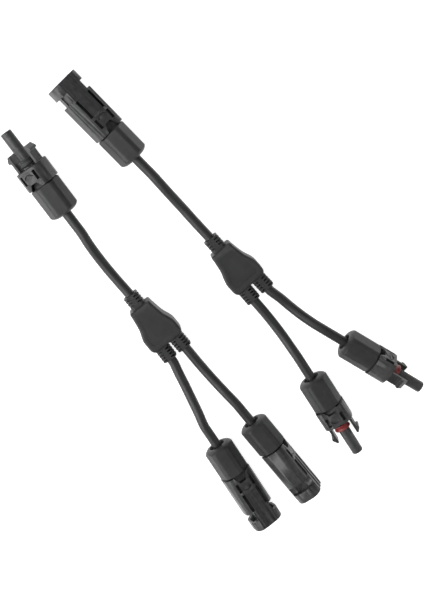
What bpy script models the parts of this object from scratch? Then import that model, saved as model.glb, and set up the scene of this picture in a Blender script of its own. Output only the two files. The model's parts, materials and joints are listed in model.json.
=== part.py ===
"""Two solar branch leads that belong together, each with three single-pole connectors.

Lead A has a plug end on its trunk cable and two socket ends on its branch cables.
Lead B is its counterpart, with a socket end on the trunk and two plug ends on the branches.
Each lead lies on the plane z = 0 and runs along Y, with its trunk cable towards +Y.
The origin is on the flat underside of lead A's Y junction, at its middle.

A connector is drawn in its own frame: +X points to its mating end, Y is the way its latches
move, and x = 0 is the shoulder of the housing that the cap nut screws up to.
Sizes are in millimetres and are turned into metres as each mesh is made.
"""
import math

import bmesh
import bpy
from mathutils import Matrix, Vector

MM = 0.001

# ---- fits -----------------------------------------------------------------
GAP = 0.3                   # clearance between pieces that sit face to face
RUNNING_GAP = 0.5           # clearance round a piece that moves past another
EDGE = 1.0                  # how far a cutter runs past the face that it opens

# ---- cable ----------------------------------------------------------------
CABLE_RADIUS = 3.0
CABLE_POINTS = 12           # points along each cable's tube
STRAIGHT_BEHIND_NUT = 15.0  # straight cable that the nut slides back over

# ---- cable gland: seal, claw ring, threaded sleeve and cap nut ------------
GLAND_WALL = 1.6
GLAND_LENGTH = 7.0
SLEEVE_WALL = 1.8
SLEEVE_LENGTH = 10.5
CLAW_LENGTH = 5.2
CLAW_FLANGE = 2.8           # how far the claw ring's flange stands off the cable
CLAW_RIM = 1.2              # thickness of the flange
CLAW_BRIDGE = 1.8           # solid part of the ring in front of its slots
CLAW_TIP_WALL = 1.1
CLAW_SLOT = 0.8
NUT_LENGTH = 21.0
NUT_WALL = 1.45             # at the middle of a flat
NUT_EDGE_RADIUS = 2.2       # rounding of the six long edges
NUT_DOME = 4.6              # rounding of the rear end
NUT_CHAMFER = 1.3
NUT_CHAMFER_IN = 0.2        # how far the chamfer comes inside the flats
NUT_SEAT = 1.5              # length of the cone that the claw ring's flange sits in
NUT_SEAT_ROOM = 2.0         # behind the claws, where the bore narrows to the cable
THREAD_PITCH = 3.0
NUT_TURNS = 2.75

# ---- contacts -------------------------------------------------------------
PIN_RADIUS = 2.0
CONTACT_WALL = 0.6
PIN_RECESS = 12.0           # from the mating face to the pin's tip
TUBE_RECESS = 1.8           # from the nose tip to the socket contact's mouth
TUBE_DEPTH = 16.0
TUBE_FIT = 0.1              # between the pin and the tube
PIN_TAPER = 1.5
PIN_POINT = 0.8             # how much the radius shrinks at the tip

# ---- plug end -------------------------------------------------------------
PLUG_LENGTH = 35.8          # shoulder to nose tip
PLUG_SHELL_LENGTH = 12.2
NOSE_WALL = 0.6
SEAL_WALL = 1.65
SEAL_LENGTH = 3.6
SEAL_FROM_SHELL = 1.6
SEAL_WAIST = 0.5            # depth of the waist between its two lips
BOSS_STEP = 0.4             # how much lower the boss behind the seal stands
ARM_WIDTH = 7.0
ARM_THICKNESS = 1.6
ARM_ROOT = 3.0              # from the shoulder to the arm's flexing root
ARM_TIP_BACK = 12.4         # from the nose tip to the arm's tip
BARB_LENGTH = 4.1
BARB_HEIGHT = 1.4
ARM_FLEX = 4.5              # degrees that an arm flexes inwards
ARM_OVER_SEAL = 1.2         # room between the seal and an arm, for its flexing

# ---- socket end -----------------------------------------------------------
SOCKET_LENGTH = 39.0        # shoulder to mating face
COLLAR_LENGTH = 6.8
WINDOW_LENGTH = 6.0
NOTCH_DEPTH = 1.7           # of the notch round each window, at its middle
SHELL_WALL = 1.3            # outside the latch channels
SHELL_HEIGHT = 16.4
SHELL_CORNER = 6.0
SHELL_SEGMENTS = 4

# ---- grooves on the wide faces --------------------------------------------
BAND_HALF = 4.0
SLOT_WIDTH = 1.7
SLOT_DEPTH = 2.6
LONG_SLOT = 12.5
SHORT_SLOT = 6.1
SLOT_BRIDGE = 2.0
POCKET_LENGTH = 4.3
POCKET_DEPTH = 2.2
POCKET_FRONT_HALF = 2.2     # the pocket narrows from the band's width to this

# ---- Y junction -----------------------------------------------------------
JUNCTION_LENGTH = 28.4
JUNCTION_HEIGHT = 13.0
# half width of the body and how far that is from its trunk end
JUNCTION_STATIONS = (
    (6.2, 0.0), (7.2, 1.0), (9.0, 12.0), (11.1, 17.6), (11.4, 19.0),
    (11.4, JUNCTION_LENGTH - 2.6), (10.5, JUNCTION_LENGTH - 0.8), (9.0, JUNCTION_LENGTH),
)
JUNCTION_ROUNDING = 1.2
RELIEF_SIZE = 9.3
RELIEF_CORNER = 2.4
TRUNK_RELIEF = 8.4
BRANCH_RELIEF = 9.0
BRANCH_SPACING = 5.3        # from the middle to a branch cable, at the fork
BRANCH_SPLAY = 1.5          # degrees
RIB_GROOVE = 1.0
RIB_PITCH = 2.0
RIB_WALL = 0.6              # between the cable and a groove's floor
RIB_SPAN = (-74.0, 74.0)    # degrees that a groove runs through, from the side
RIB_REACH = 2.0             # how far a groove's cutter passes the relief's faces
RIB_STEPS = 8
SPLICE_CORNER = 1.0
SPLICE_HALF = 6.8
SPLICE_LENGTH = 13.0
SPLICE_HEIGHT = 6.2

STEPS = 20                  # faces round a turned shape

# ---- sizes that follow from the ones above --------------------------------
CABLE_BORE = CABLE_RADIUS + GAP
GLAND_RADIUS = CABLE_BORE + GLAND_WALL
SLEEVE_BORE = GLAND_RADIUS + GAP
SLEEVE_RADIUS = SLEEVE_BORE + SLEEVE_WALL
NUT_BORE = SLEEVE_RADIUS + GAP
NUT_HALF = NUT_BORE + NUT_WALL
CONTACT_RADIUS = PIN_RADIUS + CONTACT_WALL
CONTACT_BORE = CONTACT_RADIUS + GAP
NOSE_RADIUS = CONTACT_BORE + NOSE_WALL
SEAL_RADIUS = NOSE_RADIUS + SEAL_WALL
ARM_INNER = SEAL_RADIUS + ARM_OVER_SEAL
ARM_OUTER = ARM_INNER + ARM_THICKNESS
ARM_TIP = PLUG_LENGTH - ARM_TIP_BACK
CHANNEL_OUTER = ARM_OUTER + GAP
CHANNEL_INNER = SEAL_RADIUS - GAP
SHELL_HALF = CHANNEL_OUTER + SHELL_WALL
MOUTH_RADIUS = SEAL_RADIUS + RUNNING_GAP
NOSE_BORE = NOSE_RADIUS + RUNNING_GAP
WINDOW_FRONT = SOCKET_LENGTH - COLLAR_LENGTH
WINDOW_BACK = WINDOW_FRONT - WINDOW_LENGTH
GLAND_BACK = -SLEEVE_LENGTH + GAP
GLAND_FRONT = GLAND_BACK + GLAND_LENGTH
CABLE_FRONT = GLAND_FRONT + GAP
CLAW_FRONT = -SLEEVE_LENGTH - GAP
CLAW_BACK = CLAW_FRONT - CLAW_LENGTH
CABLE_HEIGHT = JUNCTION_HEIGHT / 2
BOSS_RADIUS = SEAL_RADIUS - BOSS_STEP
NOTCH_RADIUS = SHELL_HALF - NOTCH_DEPTH
SLOT_OUTER = BAND_HALF + SLOT_WIDTH
RIB_RADIUS = CABLE_BORE + RIB_WALL

# ---- where each connector lies: shoulder x, y, heading and roll in degrees -
# A heading of 0 points the mating end along -Y, and 90 along +X.
CONNECTORS = {
    "a_trunk": ("plug", 3.3, 105.6, 177.5, -30.0),
    "a_left": ("socket", -19.9, -105.3, -6.1, -16.0),
    "a_right": ("socket", 8.1, -107.0, 0.4, -76.0),
    "b_trunk": ("socket", 51.4, 105.1, -174.2, 26.0),
    "b_left": ("plug", 51.2, -108.3, -5.7, 8.0),
    "b_right": ("plug", 90.1, -101.4, 20.1, -65.0),
}
# x, y and heading of each Y junction
JUNCTIONS = {"a": (0.0, 0.0, 0.0), "b": (59.6, -3.0, 3.7)}
# Points that each cable passes between its junction and its connector
CABLE_ROUTES = {
    "a_trunk": [(-0.3, 34.0, 6.3), (-0.4, 43.0, 6.4), (-0.1, 52.0, 7.3), (0.6, 61.0, 8.8)],
    "a_left": [(-7.6, -34.0, 6.3), (-9.6, -43.0, 6.3), (-11.7, -52.0, 7.1), (-13.8, -61.0, 8.4)],
    "a_right": [(5.6, -34.0, 6.4), (5.8, -43.0, 6.6), (6.3, -52.0, 7.7), (7.1, -61.5, 9.2)],
    "b_trunk": [(57.1, 34.0, 6.4), (56.6, 43.0, 6.4), (56.0, 52.0, 7.5), (55.5, 61.0, 8.9)],
    "b_left": [(56.0, -38.0, 6.3), (56.0, -47.0, 6.2), (55.8, -56.0, 6.9), (55.3, -64.5, 8.1)],
    "b_right": [(68.8, -36.0, 6.4), (70.4, -44.0, 6.6), (72.4, -52.0, 7.8), (74.9, -60.0, 9.3)],
}

COLOURS = {
    "plastic": ((0.045, 0.045, 0.047), 0.55, 0.0),
    "cable_sheath": ((0.05, 0.05, 0.052), 0.5, 0.0),
    "black_rubber": ((0.03, 0.03, 0.03), 0.7, 0.0),
    "red_rubber": ((0.48, 0.05, 0.05), 0.6, 0.0),
    "tinned_copper": ((0.75, 0.74, 0.72), 0.3, 1.0),
}


def clear_scene():
    """Remove every object that the file opened with."""
    for old in list(bpy.data.objects):
        bpy.data.objects.remove(old, do_unlink=True)


def make_material(name):
    """One Principled material from the table of colours."""
    colour, roughness, metallic = COLOURS[name]
    material = bpy.data.materials.new(name)
    material.use_nodes = True
    shader = material.node_tree.nodes["Principled BSDF"]
    shader.inputs["Base Color"].default_value = (*colour, 1.0)
    shader.inputs["Roughness"].default_value = roughness
    shader.inputs["Metallic"].default_value = metallic
    return material


clear_scene()
PARTS = bpy.data.collections.new("solar_branch_leads")
CUTTERS = bpy.data.collections.new("cutters")
bpy.context.scene.collection.children.link(PARTS)
bpy.context.scene.collection.children.link(CUTTERS)
MATERIALS = {}


def material_for(name):
    """The material of that name, made the first time it is asked for."""
    if name not in MATERIALS:
        MATERIALS[name] = make_material(name)
    return MATERIALS[name]


def place(name, mesh, parent, material=None):
    """Link a mesh as a part when it has a material, or as a hidden cutter when it has none."""
    obj = bpy.data.objects.new(name, mesh)
    obj.parent = parent
    if material is None:
        CUTTERS.objects.link(obj)
        obj.hide_render = True
        obj.display_type = "WIRE"
    else:
        PARTS.objects.link(obj)
        mesh.materials.append(material_for(material))
    return obj


def from_bmesh(name, shape, parent, material=None):
    """Place a bmesh drawn in millimetres."""
    bmesh.ops.scale(shape, vec=(MM, MM, MM), verts=shape.verts)
    mesh = bpy.data.meshes.new(name)
    shape.to_mesh(mesh)
    shape.free()
    return place(name, mesh, parent, material)


def turned(name, profile, parent, material=None, ring=False):
    """Turn a profile of (radius, x) points about the X axis, mating end first."""
    points = [(radius * MM, 0.0, along * MM) for radius, along in profile]
    edges = [(index, index + 1) for index in range(len(points) - 1)]
    if ring:
        edges.append((len(points) - 1, 0))
    mesh = bpy.data.meshes.new(name)
    mesh.from_pydata(points, edges, [])
    obj = place(name, mesh, parent, material)
    obj.rotation_euler.y = math.pi / 2
    screw = obj.modifiers.new("turn", "SCREW")
    screw.steps = STEPS
    screw.render_steps = STEPS
    screw.merge_threshold = 1e-6
    screw.use_merge_vertices = True
    return obj


def add_box(shape, low, high):
    """Add a box between two corners to a bmesh."""
    middle = [(a + b) / 2 for a, b in zip(low, high)]
    size = [b - a for a, b in zip(low, high)]
    matrix = Matrix.Translation(middle) @ Matrix.Diagonal((*size, 1.0))
    return bmesh.ops.create_cube(shape, size=1.0, matrix=matrix)


def boxes(name, corners, parent, material=None):
    """One object that holds separate boxes."""
    shape = bmesh.new()
    for low, high in corners:
        add_box(shape, low, high)
    return from_bmesh(name, shape, parent, material)


def rounded_bar(name, low, high, corner, parent, material=None, segments=SHELL_SEGMENTS):
    """A box whose long edges, along X, are rounded."""
    shape = bmesh.new()
    add_box(shape, low, high)
    long_edges = [
        edge for edge in shape.edges
        if abs(edge.verts[0].co.x - edge.verts[1].co.x) > (high[0] - low[0]) / 2
    ]
    bmesh.ops.bevel(
        shape, geom=long_edges, offset=corner, offset_type="OFFSET", segments=segments,
        profile=0.5, affect="EDGES", material=-1,
    )
    return from_bmesh(name, shape, parent, material)


def outline(name, points, half_thickness, parent, material=None):
    """A flat outline in the XY plane, given thickness along Z."""
    curve = bpy.data.curves.new(name, "CURVE")
    curve.dimensions = "2D"
    curve.fill_mode = "BOTH"
    curve.extrude = half_thickness * MM
    spline = curve.splines.new("POLY")
    spline.points.add(len(points) - 1)
    for spot, (x, y) in zip(spline.points, points):
        spot.co = (x * MM, y * MM, 0.0, 1.0)
    spline.use_cyclic_u = True
    drawing = bpy.data.objects.new(name + "_outline", curve)
    CUTTERS.objects.link(drawing)
    graph = bpy.context.evaluated_depsgraph_get()
    mesh = bpy.data.meshes.new_from_object(drawing.evaluated_get(graph))
    bpy.data.objects.remove(drawing, do_unlink=True)
    shape = bmesh.new()
    shape.from_mesh(mesh)
    bmesh.ops.remove_doubles(shape, verts=shape.verts, dist=1e-6)
    bmesh.ops.recalc_face_normals(shape, faces=shape.faces)
    shape.to_mesh(mesh)
    shape.free()
    return place(name, mesh, parent, material)


def combine(target, tool, operation="DIFFERENCE"):
    """Cut a tool out of a part, or join it on."""
    step = target.modifiers.new(operation.lower(), "BOOLEAN")
    step.operation = operation
    step.object = tool


def frame(name, location, heading=0.0, roll=0.0, parent=None):
    """An empty whose +X points along a heading, turned about that axis by a roll."""
    empty = bpy.data.objects.new(name, None)
    PARTS.objects.link(empty)
    turn = Matrix.Rotation(math.radians(heading - 90), 4, "Z")
    tip = Matrix.Rotation(math.radians(roll), 4, "X")
    empty.matrix_world = Matrix.Translation(Vector(location) * MM) @ turn @ tip
    empty.parent = parent
    return empty


# ---- cable gland pieces, the same on every connector ----------------------
def cap_nut(name, base):
    """Hexagonal nut with rounded edges, a domed rear, and a stepped bore."""
    shape = bmesh.new()
    front = -GAP
    back = front - NUT_LENGTH
    corner = NUT_HALF / math.cos(math.pi / 6)
    lie_down = Matrix.Translation((front - NUT_LENGTH / 2, 0, 0)) @ Matrix.Rotation(math.pi / 2, 4, "Y")
    bmesh.ops.create_cone(
        shape, cap_ends=True, segments=6, radius1=corner, radius2=corner, depth=NUT_LENGTH,
        matrix=lie_down,
    )
    long_edges = [
        edge for edge in shape.edges
        if abs(edge.verts[0].co.x - edge.verts[1].co.x) > NUT_LENGTH / 2
    ]
    bmesh.ops.bevel(
        shape, geom=long_edges, offset=NUT_EDGE_RADIUS, offset_type="OFFSET", segments=2,
        profile=0.5, affect="EDGES", material=-1,
    )
    nut = from_bmesh(name, shape, base, "plastic")
    widest = corner + EDGE
    rim = NUT_HALF - NUT_CHAMFER_IN
    envelope = [(0.0, front + EDGE), (rim, front + EDGE), (rim, front)]
    envelope.append((widest, front - NUT_CHAMFER))
    envelope.append((widest, back + NUT_DOME + EDGE))
    for step in range(4):
        angle = math.radians(15 + 20 * step)
        across = corner - NUT_DOME + NUT_DOME * math.cos(angle)
        envelope.append((across, back + NUT_DOME - NUT_DOME * math.sin(angle)))
    envelope.append((0.0, back + NUT_DOME - NUT_DOME * math.sin(angle)))
    combine(nut, turned(name + "_envelope", envelope, base), "INTERSECT")
    claw_room = CABLE_RADIUS + CLAW_FLANGE + RUNNING_GAP
    bore = [
        (0.0, EDGE), (NUT_BORE, EDGE), (NUT_BORE, CLAW_FRONT - GAP),
        (claw_room, CLAW_FRONT - NUT_SEAT),
        (CABLE_BORE + CLAW_TIP_WALL + RUNNING_GAP, CLAW_BACK - GAP),
        (CABLE_RADIUS + RUNNING_GAP, CLAW_BACK - NUT_SEAT_ROOM),
        (CABLE_RADIUS + RUNNING_GAP, back - EDGE), (0.0, back - EDGE),
    ]
    combine(nut, turned(name + "_bore", bore, base))
    return nut


def claw_ring(name, base):
    """Clamping ring whose slotted claws close on the cable as the nut is screwed up."""
    flange = CABLE_RADIUS + CLAW_FLANGE
    tip = CABLE_BORE + CLAW_TIP_WALL
    profile = [
        (flange, CLAW_FRONT), (flange, CLAW_FRONT - CLAW_RIM), (tip, CLAW_BACK),
        (CABLE_BORE, CLAW_BACK), (CABLE_BORE, CLAW_FRONT),
    ]
    ring = turned(name, profile, base, "plastic", ring=True)
    reach = flange + EDGE
    slot_front = CLAW_FRONT - CLAW_BRIDGE
    for index in range(3):
        shape = bmesh.new()
        low = (CLAW_BACK - EDGE, -reach, -CLAW_SLOT / 2)
        slot = add_box(shape, low, (slot_front, reach, CLAW_SLOT / 2))
        spin = Matrix.Rotation(index * math.pi / 3, 4, "X")
        bmesh.ops.transform(shape, matrix=spin, verts=slot["verts"])
        combine(ring, from_bmesh(f"{name}_slot_{index}", shape, base))
    return ring


def gland_seal(name, base):
    """Rubber sleeve between the cable and the threaded sleeve."""
    profile = [
        (GLAND_RADIUS, GLAND_FRONT), (GLAND_RADIUS, GLAND_BACK),
        (CABLE_BORE, GLAND_BACK), (CABLE_BORE, GLAND_FRONT),
    ]
    return turned(name, profile, base, "black_rubber", ring=True)


def rear_bore(contact_bore_end, front_steps):
    """Profile of a housing's bore: gland room, contact room, then the steps at the front."""
    return [
        *front_steps,
        (CONTACT_BORE, contact_bore_end),
        (CONTACT_BORE, CABLE_FRONT),
        (SLEEVE_BORE, CABLE_FRONT),
        (SLEEVE_BORE, -SLEEVE_LENGTH - EDGE),
        (0.0, -SLEEVE_LENGTH - EDGE),
    ]


def threaded_sleeve(name, base):
    """The round sleeve behind the shoulder that takes the nut."""
    profile = [
        (0.0, EDGE), (SLEEVE_RADIUS, EDGE), (SLEEVE_RADIUS, -SLEEVE_LENGTH), (0.0, -SLEEVE_LENGTH),
    ]
    return turned(name, profile, base)


def face_slots(slot_runs):
    """Boxes that cut slots into both wide faces."""
    half_height = SHELL_HEIGHT / 2
    corners = []
    for side in (-1, 1):
        def slab(x_low, x_high, y_low, y_high, depth):
            z_range = sorted((side * (half_height - depth), side * (half_height + EDGE)))
            return (x_low, y_low, z_range[0]), (x_high, y_high, z_range[1])
        for start, end in slot_runs:
            corners.append(slab(start, end, BAND_HALF, SLOT_OUTER, SLOT_DEPTH))
            corners.append(slab(start, end, -SLOT_OUTER, -BAND_HALF, SLOT_DEPTH))
    return corners


def cut_pockets(shell, name, length, base):
    """Cut the pocket at the nut end of both wide faces. It narrows away from the nut."""
    wide = BAND_HALF - GAP
    half = (POCKET_DEPTH + EDGE) / 2
    points = [
        (-EDGE, -wide), (0.0, -wide), (length, -POCKET_FRONT_HALF),
        (length, POCKET_FRONT_HALF), (0.0, wide), (-EDGE, wide),
    ]
    for label, side in (("upper", 1), ("lower", -1)):
        pocket = outline(f"{name}_{label}_pocket", points, half, base)
        pocket.location.z = side * (SHELL_HEIGHT / 2 - POCKET_DEPTH + half) * MM
        combine(shell, pocket)


# ---- plug end -------------------------------------------------------------
def plug_housing(name, base):
    """Shell with two latch slots, the nose tube, and the threaded sleeve, all one moulding."""
    shell = rounded_bar(
        name, (0.0, -SHELL_HALF, -SHELL_HEIGHT / 2),
        (PLUG_SHELL_LENGTH, SHELL_HALF, SHELL_HEIGHT / 2), SHELL_CORNER, base, "plastic",
    )
    combine(shell, threaded_sleeve(name + "_sleeve", base), "UNION")
    boss_end = PLUG_SHELL_LENGTH + SEAL_FROM_SHELL - GAP
    nose = [
        (0.0, PLUG_LENGTH), (NOSE_RADIUS, PLUG_LENGTH), (NOSE_RADIUS, boss_end),
        (BOSS_RADIUS, boss_end), (BOSS_RADIUS, EDGE), (0.0, EDGE),
    ]
    combine(shell, turned(name + "_nose", nose, base), "UNION")
    room = ARM_INNER - (PLUG_SHELL_LENGTH - ARM_ROOT) * math.sin(math.radians(ARM_FLEX)) - GAP
    slots = [
        (
            (ARM_ROOT - GAP, min(side * room, side * CHANNEL_OUTER), -ARM_WIDTH / 2 - GAP),
            (
                PLUG_SHELL_LENGTH + EDGE, max(side * room, side * CHANNEL_OUTER),
                ARM_WIDTH / 2 + GAP,
            ),
        )
        for side in (-1, 1)
    ]
    combine(shell, boxes(name + "_arm_slots", slots, base))
    slot_run = [(POCKET_LENGTH, PLUG_SHELL_LENGTH - SLOT_BRIDGE)]
    combine(shell, boxes(name + "_slots", face_slots(slot_run), base))
    cut_pockets(shell, name, POCKET_LENGTH - SLOT_BRIDGE, base)
    bore = rear_bore(PLUG_LENGTH + EDGE, [(0.0, PLUG_LENGTH + EDGE)])
    combine(shell, turned(name + "_bore", bore, base))
    return shell


def latch_arm(name, side, base):
    """A springy arm with a barb, whose origin is on the line that it flexes about."""
    middle = (ARM_INNER + ARM_OUTER) / 2
    half = ARM_THICKNESS / 2
    length = ARM_TIP - ARM_ROOT
    barb_back = length - BARB_LENGTH
    points = [
        (0.0, -half), (length, -half), (length, half * 0.5),
        (length - BARB_LENGTH * 0.65, half + BARB_HEIGHT), (barb_back, half + BARB_HEIGHT),
        (barb_back, half), (0.0, half),
    ]
    arm = outline(name, points, ARM_WIDTH / 2, base, "plastic")
    arm.location = (ARM_ROOT * MM, side * middle * MM, 0.0)
    if side < 0:
        arm.rotation_euler.x = math.pi
    return arm


def nose_seal(name, base, material):
    """Rubber ring round the foot of the nose, which seals in the socket's mouth."""
    inner = NOSE_RADIUS + GAP
    back = PLUG_SHELL_LENGTH + SEAL_FROM_SHELL
    front = back + SEAL_LENGTH
    waist = SEAL_RADIUS - SEAL_WAIST
    lip = SEAL_LENGTH / 4
    profile = [
        (SEAL_RADIUS, front), (SEAL_RADIUS, front - lip), (waist, front - 1.5 * lip),
        (waist, back + 1.5 * lip), (SEAL_RADIUS, back + lip), (SEAL_RADIUS, back),
        (inner, back), (inner, front),
    ]
    return turned(name, profile, base, material, ring=True)


def socket_contact(name, base):
    """Tube contact crimped on the conductor, open towards the nose tip."""
    front = PLUG_LENGTH - TUBE_RECESS
    back = CABLE_FRONT + GAP
    bore = PIN_RADIUS + TUBE_FIT
    profile = [
        (0.0, front - TUBE_DEPTH), (bore, front - TUBE_DEPTH), (bore, front),
        (CONTACT_RADIUS, front), (CONTACT_RADIUS, back), (0.0, back),
    ]
    return turned(name, profile, base, "tinned_copper")


# ---- socket end -----------------------------------------------------------
def socket_housing(name, base):
    """Shroud with a stepped mouth, two latch windows, grooved faces and the threaded sleeve."""
    half_height = SHELL_HEIGHT / 2
    shell = rounded_bar(
        name, (0.0, -SHELL_HALF, -half_height), (SOCKET_LENGTH, SHELL_HALF, half_height),
        SHELL_CORNER, base, "plastic",
    )
    combine(shell, threaded_sleeve(name + "_sleeve", base), "UNION")
    mouth_floor = WINDOW_FRONT + GAP
    nose_floor = SOCKET_LENGTH - (PLUG_LENGTH - PLUG_SHELL_LENGTH) - EDGE
    bore = rear_bore(
        nose_floor,
        [
            (0.0, SOCKET_LENGTH + EDGE), (MOUTH_RADIUS, SOCKET_LENGTH + EDGE),
            (MOUTH_RADIUS, mouth_floor), (NOSE_BORE, mouth_floor), (NOSE_BORE, nose_floor),
        ],
    )
    channel_half = ARM_WIDTH / 2 + GAP
    window_half = channel_half + GAP
    beyond = SHELL_HALF + EDGE
    channels = []
    windows = []
    notches = []
    for side in (-1, 1):
        near, far = sorted((side * CHANNEL_INNER, side * CHANNEL_OUTER))
        channels.append(
            ((WINDOW_BACK + GAP, near, -channel_half), (SOCKET_LENGTH + EDGE, far, channel_half))
        )
        near, far = sorted((side * (CHANNEL_INNER + GAP), side * beyond))
        windows.append(((WINDOW_BACK, near, -window_half), (WINDOW_FRONT, far, window_half)))
        near, far = sorted((side * SLOT_OUTER, side * beyond))
        notches.append(
            ((WINDOW_BACK, near, -half_height - EDGE), (WINDOW_FRONT, far, half_height + EDGE))
        )
    core = [
        (0.0, SOCKET_LENGTH), (NOTCH_RADIUS, SOCKET_LENGTH), (NOTCH_RADIUS, 0.0), (0.0, 0.0),
    ]
    notch = boxes(name + "_notches", notches, base)
    combine(notch, turned(name + "_notch_core", core, base))
    combine(shell, notch)
    combine(shell, boxes(name + "_windows", windows, base))
    combine(shell, boxes(name + "_channels", channels, base))
    short_end = POCKET_LENGTH + SHORT_SLOT
    long_start = short_end + SLOT_BRIDGE
    runs = [(POCKET_LENGTH, short_end), (long_start, long_start + LONG_SLOT)]
    combine(shell, boxes(name + "_slots", face_slots(runs), base))
    cut_pockets(shell, name, POCKET_LENGTH - GAP, base)
    combine(shell, turned(name + "_bore", bore, base))
    return shell


def pin_contact(name, base):
    """Pin crimped on the conductor, with a tapered tip."""
    tip = SOCKET_LENGTH - PIN_RECESS
    shoulder = SOCKET_LENGTH - (PLUG_LENGTH - PLUG_SHELL_LENGTH) - EDGE - GAP
    profile = [
        (0.0, tip), (PIN_RADIUS - PIN_POINT, tip), (PIN_RADIUS, tip - PIN_TAPER),
        (PIN_RADIUS, shoulder),
        (CONTACT_RADIUS, shoulder), (CONTACT_RADIUS, CABLE_FRONT + GAP), (0.0, CABLE_FRONT + GAP),
    ]
    return turned(name, profile, base, "tinned_copper")


# ---- Y junction -----------------------------------------------------------
def junction_outline():
    """Half outline of the body, trunk end first, mirrored to both sides."""
    top = JUNCTION_LENGTH / 2
    half = [(half_width, top - along) for half_width, along in JUNCTION_STATIONS]
    return half + [(-x, y) for x, y in reversed(half)]


def relief_frames(name, base):
    """Empties at the foot of each strain relief, +X pointing out along its cable."""
    spots = {
        "trunk": (0.0, JUNCTION_LENGTH / 2, 180.0, TRUNK_RELIEF),
        "left": (-BRANCH_SPACING, -JUNCTION_LENGTH / 2, -BRANCH_SPLAY, BRANCH_RELIEF),
        "right": (BRANCH_SPACING, -JUNCTION_LENGTH / 2, BRANCH_SPLAY, BRANCH_RELIEF),
    }
    frames = {}
    for label, (x, y, heading, length) in spots.items():
        empty = frame(f"{name}_{label}_relief", (x, y, CABLE_HEIGHT), heading, parent=base)
        frames[label] = (empty, length)
    return frames


def rib_grooves(name, length, parent):
    """Grooves round both sides of a relief, which leave a spine above and one below."""
    beyond = RELIEF_SIZE / 2 + RIB_REACH
    start, end = (math.radians(angle) for angle in RIB_SPAN)
    angles = [start + (end - start) * step / RIB_STEPS for step in range(RIB_STEPS + 1)]
    shape = bmesh.new()
    for index in range(int((length - RIB_GROOVE) // RIB_PITCH)):
        along = length - RIB_PITCH * (index + 1)
        for half_turn in (0.0, math.pi):
            ring = []
            for radius, order in ((RIB_RADIUS, angles), (beyond * math.sqrt(2), angles[::-1])):
                for angle in order:
                    across = radius * math.cos(angle + half_turn)
                    up = radius * math.sin(angle + half_turn)
                    ring.append(shape.verts.new((along, across, up)))
            face = shape.faces.new(ring)
            thick = bmesh.ops.extrude_face_region(shape, geom=[face])
            moved = [item for item in thick["geom"] if isinstance(item, bmesh.types.BMVert)]
            bmesh.ops.translate(shape, vec=(RIB_GROOVE, 0.0, 0.0), verts=moved)
    bmesh.ops.recalc_face_normals(shape, faces=shape.faces)
    return from_bmesh(name, shape, parent)


def y_junction(name, base):
    """Flat moulded body with a ribbed strain relief for each cable, hollow round the splice."""
    body = outline(name, junction_outline(), JUNCTION_HEIGHT / 2, base, "plastic")
    body.location.z = CABLE_HEIGHT * MM
    rounding = body.modifiers.new("rounding", "BEVEL")
    rounding.width = JUNCTION_ROUNDING * MM
    rounding.segments = 2
    rounding.limit_method = "ANGLE"
    rounding.angle_limit = math.radians(50)
    half = RELIEF_SIZE / 2
    for label, (empty, length) in relief_frames(name, base).items():
        relief = rounded_bar(
            f"{name}_{label}", (-2 * EDGE, -half, -half), (length, half, half), RELIEF_CORNER,
            empty, segments=3,
        )
        combine(body, relief, "UNION")
        combine(body, rib_grooves(f"{name}_{label}_ribs", length, empty))
        depth = JUNCTION_LENGTH / 2 - SPLICE_LENGTH / 2
        hole = [(0.0, length + EDGE), (CABLE_BORE, length + EDGE), (CABLE_BORE, -depth), (0.0, -depth)]
        combine(body, turned(f"{name}_{label}_hole", hole, empty))
    room = boxes(name + "_splice_room", [splice_corners(GAP)], base)
    combine(body, room)
    return body


def splice_corners(extra):
    """Low and high corners of the splice, or of the room round it."""
    across = SPLICE_HALF + extra
    along = SPLICE_LENGTH / 2 + extra
    up = SPLICE_HEIGHT / 2 + extra
    return (-across, -along, CABLE_HEIGHT - up), (across, along, CABLE_HEIGHT + up)


def splice(name, base):
    """Welded copper block that joins the three conductors inside the junction."""
    low, high = splice_corners(0.0)
    return rounded_bar(name, low, high, SPLICE_CORNER, base, "tinned_copper", segments=2)


# ---- cables ---------------------------------------------------------------
def smooth_route(points, count):
    """Evenly spaced points on a Catmull-Rom curve through the route's own points."""
    ends = [points[0] * 2 - points[1], *points, points[-1] * 2 - points[-2]]
    dense = []
    for before, start, end, after in zip(ends, ends[1:], ends[2:], ends[3:]):
        for step in range(16):
            t = step / 16
            dense.append(
                0.5 * (
                    2 * start + (end - before) * t
                    + (2 * before - 5 * start + 4 * end - after) * t ** 2
                    + (3 * start - before - 3 * end + after) * t ** 3
                )
            )
    dense.append(points[-1])
    lengths = [0.0]
    for first, second in zip(dense, dense[1:]):
        lengths.append(lengths[-1] + (second - first).length)
    spaced = []
    for index in range(count):
        wanted = lengths[-1] * index / (count - 1)
        spot = max(i for i, run in enumerate(lengths) if run <= wanted + 1e-9)
        spot = min(spot, len(dense) - 2)
        part = (wanted - lengths[spot]) / (lengths[spot + 1] - lengths[spot])
        spaced.append(dense[spot].lerp(dense[spot + 1], part))
    return spaced


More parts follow.
